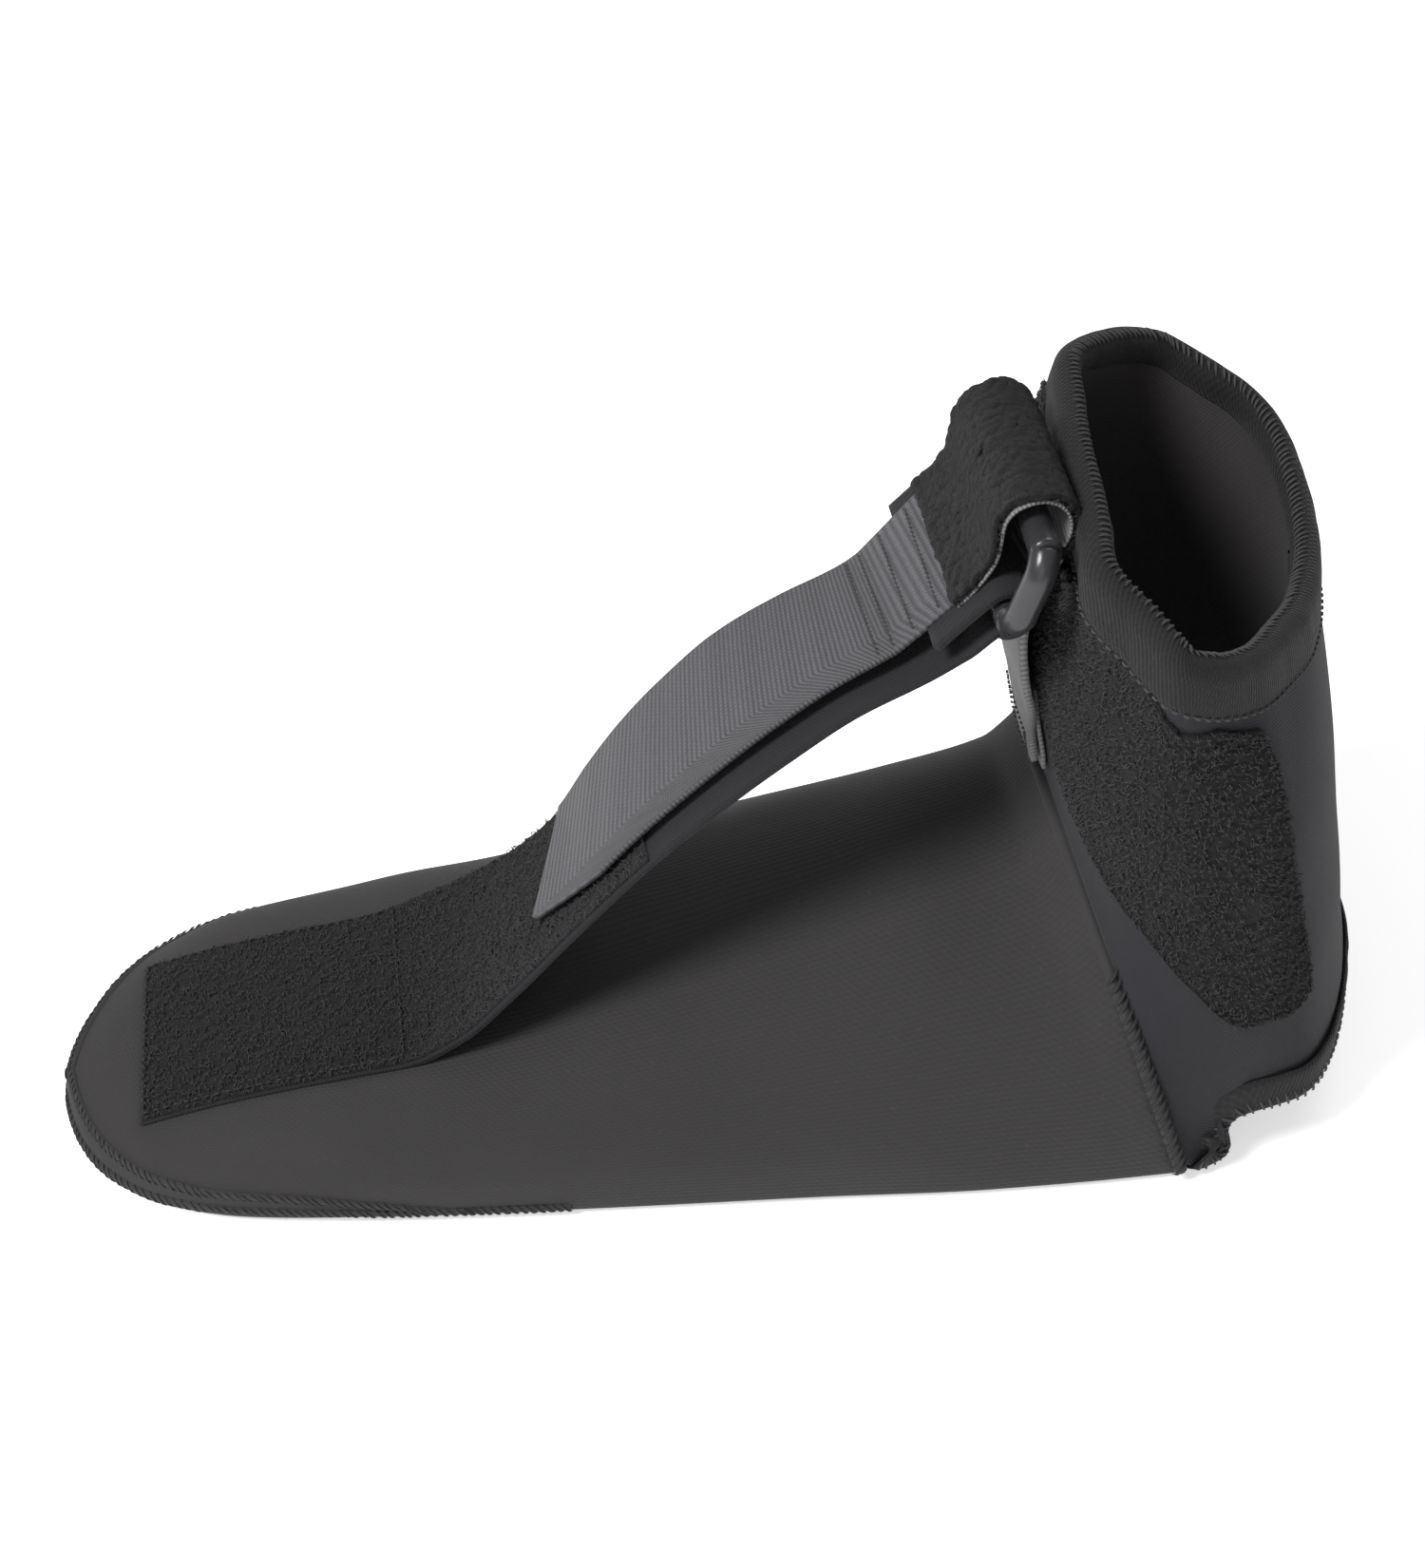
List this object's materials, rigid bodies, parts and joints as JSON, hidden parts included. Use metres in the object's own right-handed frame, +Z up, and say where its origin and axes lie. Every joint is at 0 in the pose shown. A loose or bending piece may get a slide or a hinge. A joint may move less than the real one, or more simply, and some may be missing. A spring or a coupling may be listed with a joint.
{
  "type": "soft ankle foot orthosis",
  "caption": "Closed-toe soft sleeve and ankle cuff with an open heel; a lift strap runs over a plastic ring and presses onto a toe strap to hold the forefoot up.",
  "frame": {"origin": "flat underside of the sole, on the centre line, below the instep crease", "axes": "+X from the toe to the heel, +Y across the foot, +Z up"},
  "size_m": [0.2955, 0.1249, 0.1572],
  "materials": {
    "knit_black": "fine ribbed knit",
    "lining_knit": "smooth brushed knit",
    "loop_pile": "deep fuzzy loop pile",
    "hook_webbing": "ribbed webbing with hooks",
    "anchor_webbing": "plain webbing",
    "binding_knit": "folded binding tape",
    "thread": "overlock thread",
    "ring_plastic": "glossy moulded"
  },
  "bodies": {
    "foot": {"foot_upper": "knit_black", "foot_lining": "lining_knit", "foot_sole": "knit_black", "sole_lining": "lining_knit", "sole_binding": "binding_knit", "toe_seam": "thread", "ankle_seam_near": "thread", "ankle_seam_far": "thread", "toe_strap": "loop_pile", "toe_strap_stitching": "thread"},
    "cuff": {"cuff_near_panel": "knit_black", "cuff_far_panel": "knit_black", "cuff_lining": "lining_knit", "cuff_back_seam": "thread", "top_binding": "binding_knit", "heel_binding": "binding_knit", "near_loop_patch": "loop_pile", "far_loop_patch": "loop_pile", "near_patch_stitching": "thread", "far_patch_stitching": "thread", "strap_anchor": "anchor_webbing", "anchor_stitching": "thread", "lift_strap": "loop_pile"},
    "ring": {"strap_ring": "ring_plastic"},
    "strap_tail": {"lift_strap_turn": "loop_pile", "hook_tape": "hook_webbing", "tape_stitching": "thread"}
  },
  "joints": [
    {"name": "ankle_flex", "type": "hinge", "parent": "foot", "child": "cuff", "pos_m": [0.026, 0, 0.002], "axis": [0, 1, 0], "range_deg": [0, 12]},
    {"name": "ring_swing", "type": "hinge", "parent": "foot", "child": "ring", "pos_m": [-0.0195, 0, 0.1325], "axis": [0, 1, 0], "range_deg": [-8, 8]},
    {"name": "tape_peel", "type": "hinge", "parent": "foot", "child": "strap_tail", "pos_m": [-0.014, 0, 0.149], "axis": [0, 1, 0], "range_deg": [0, 110]}
  ]
}
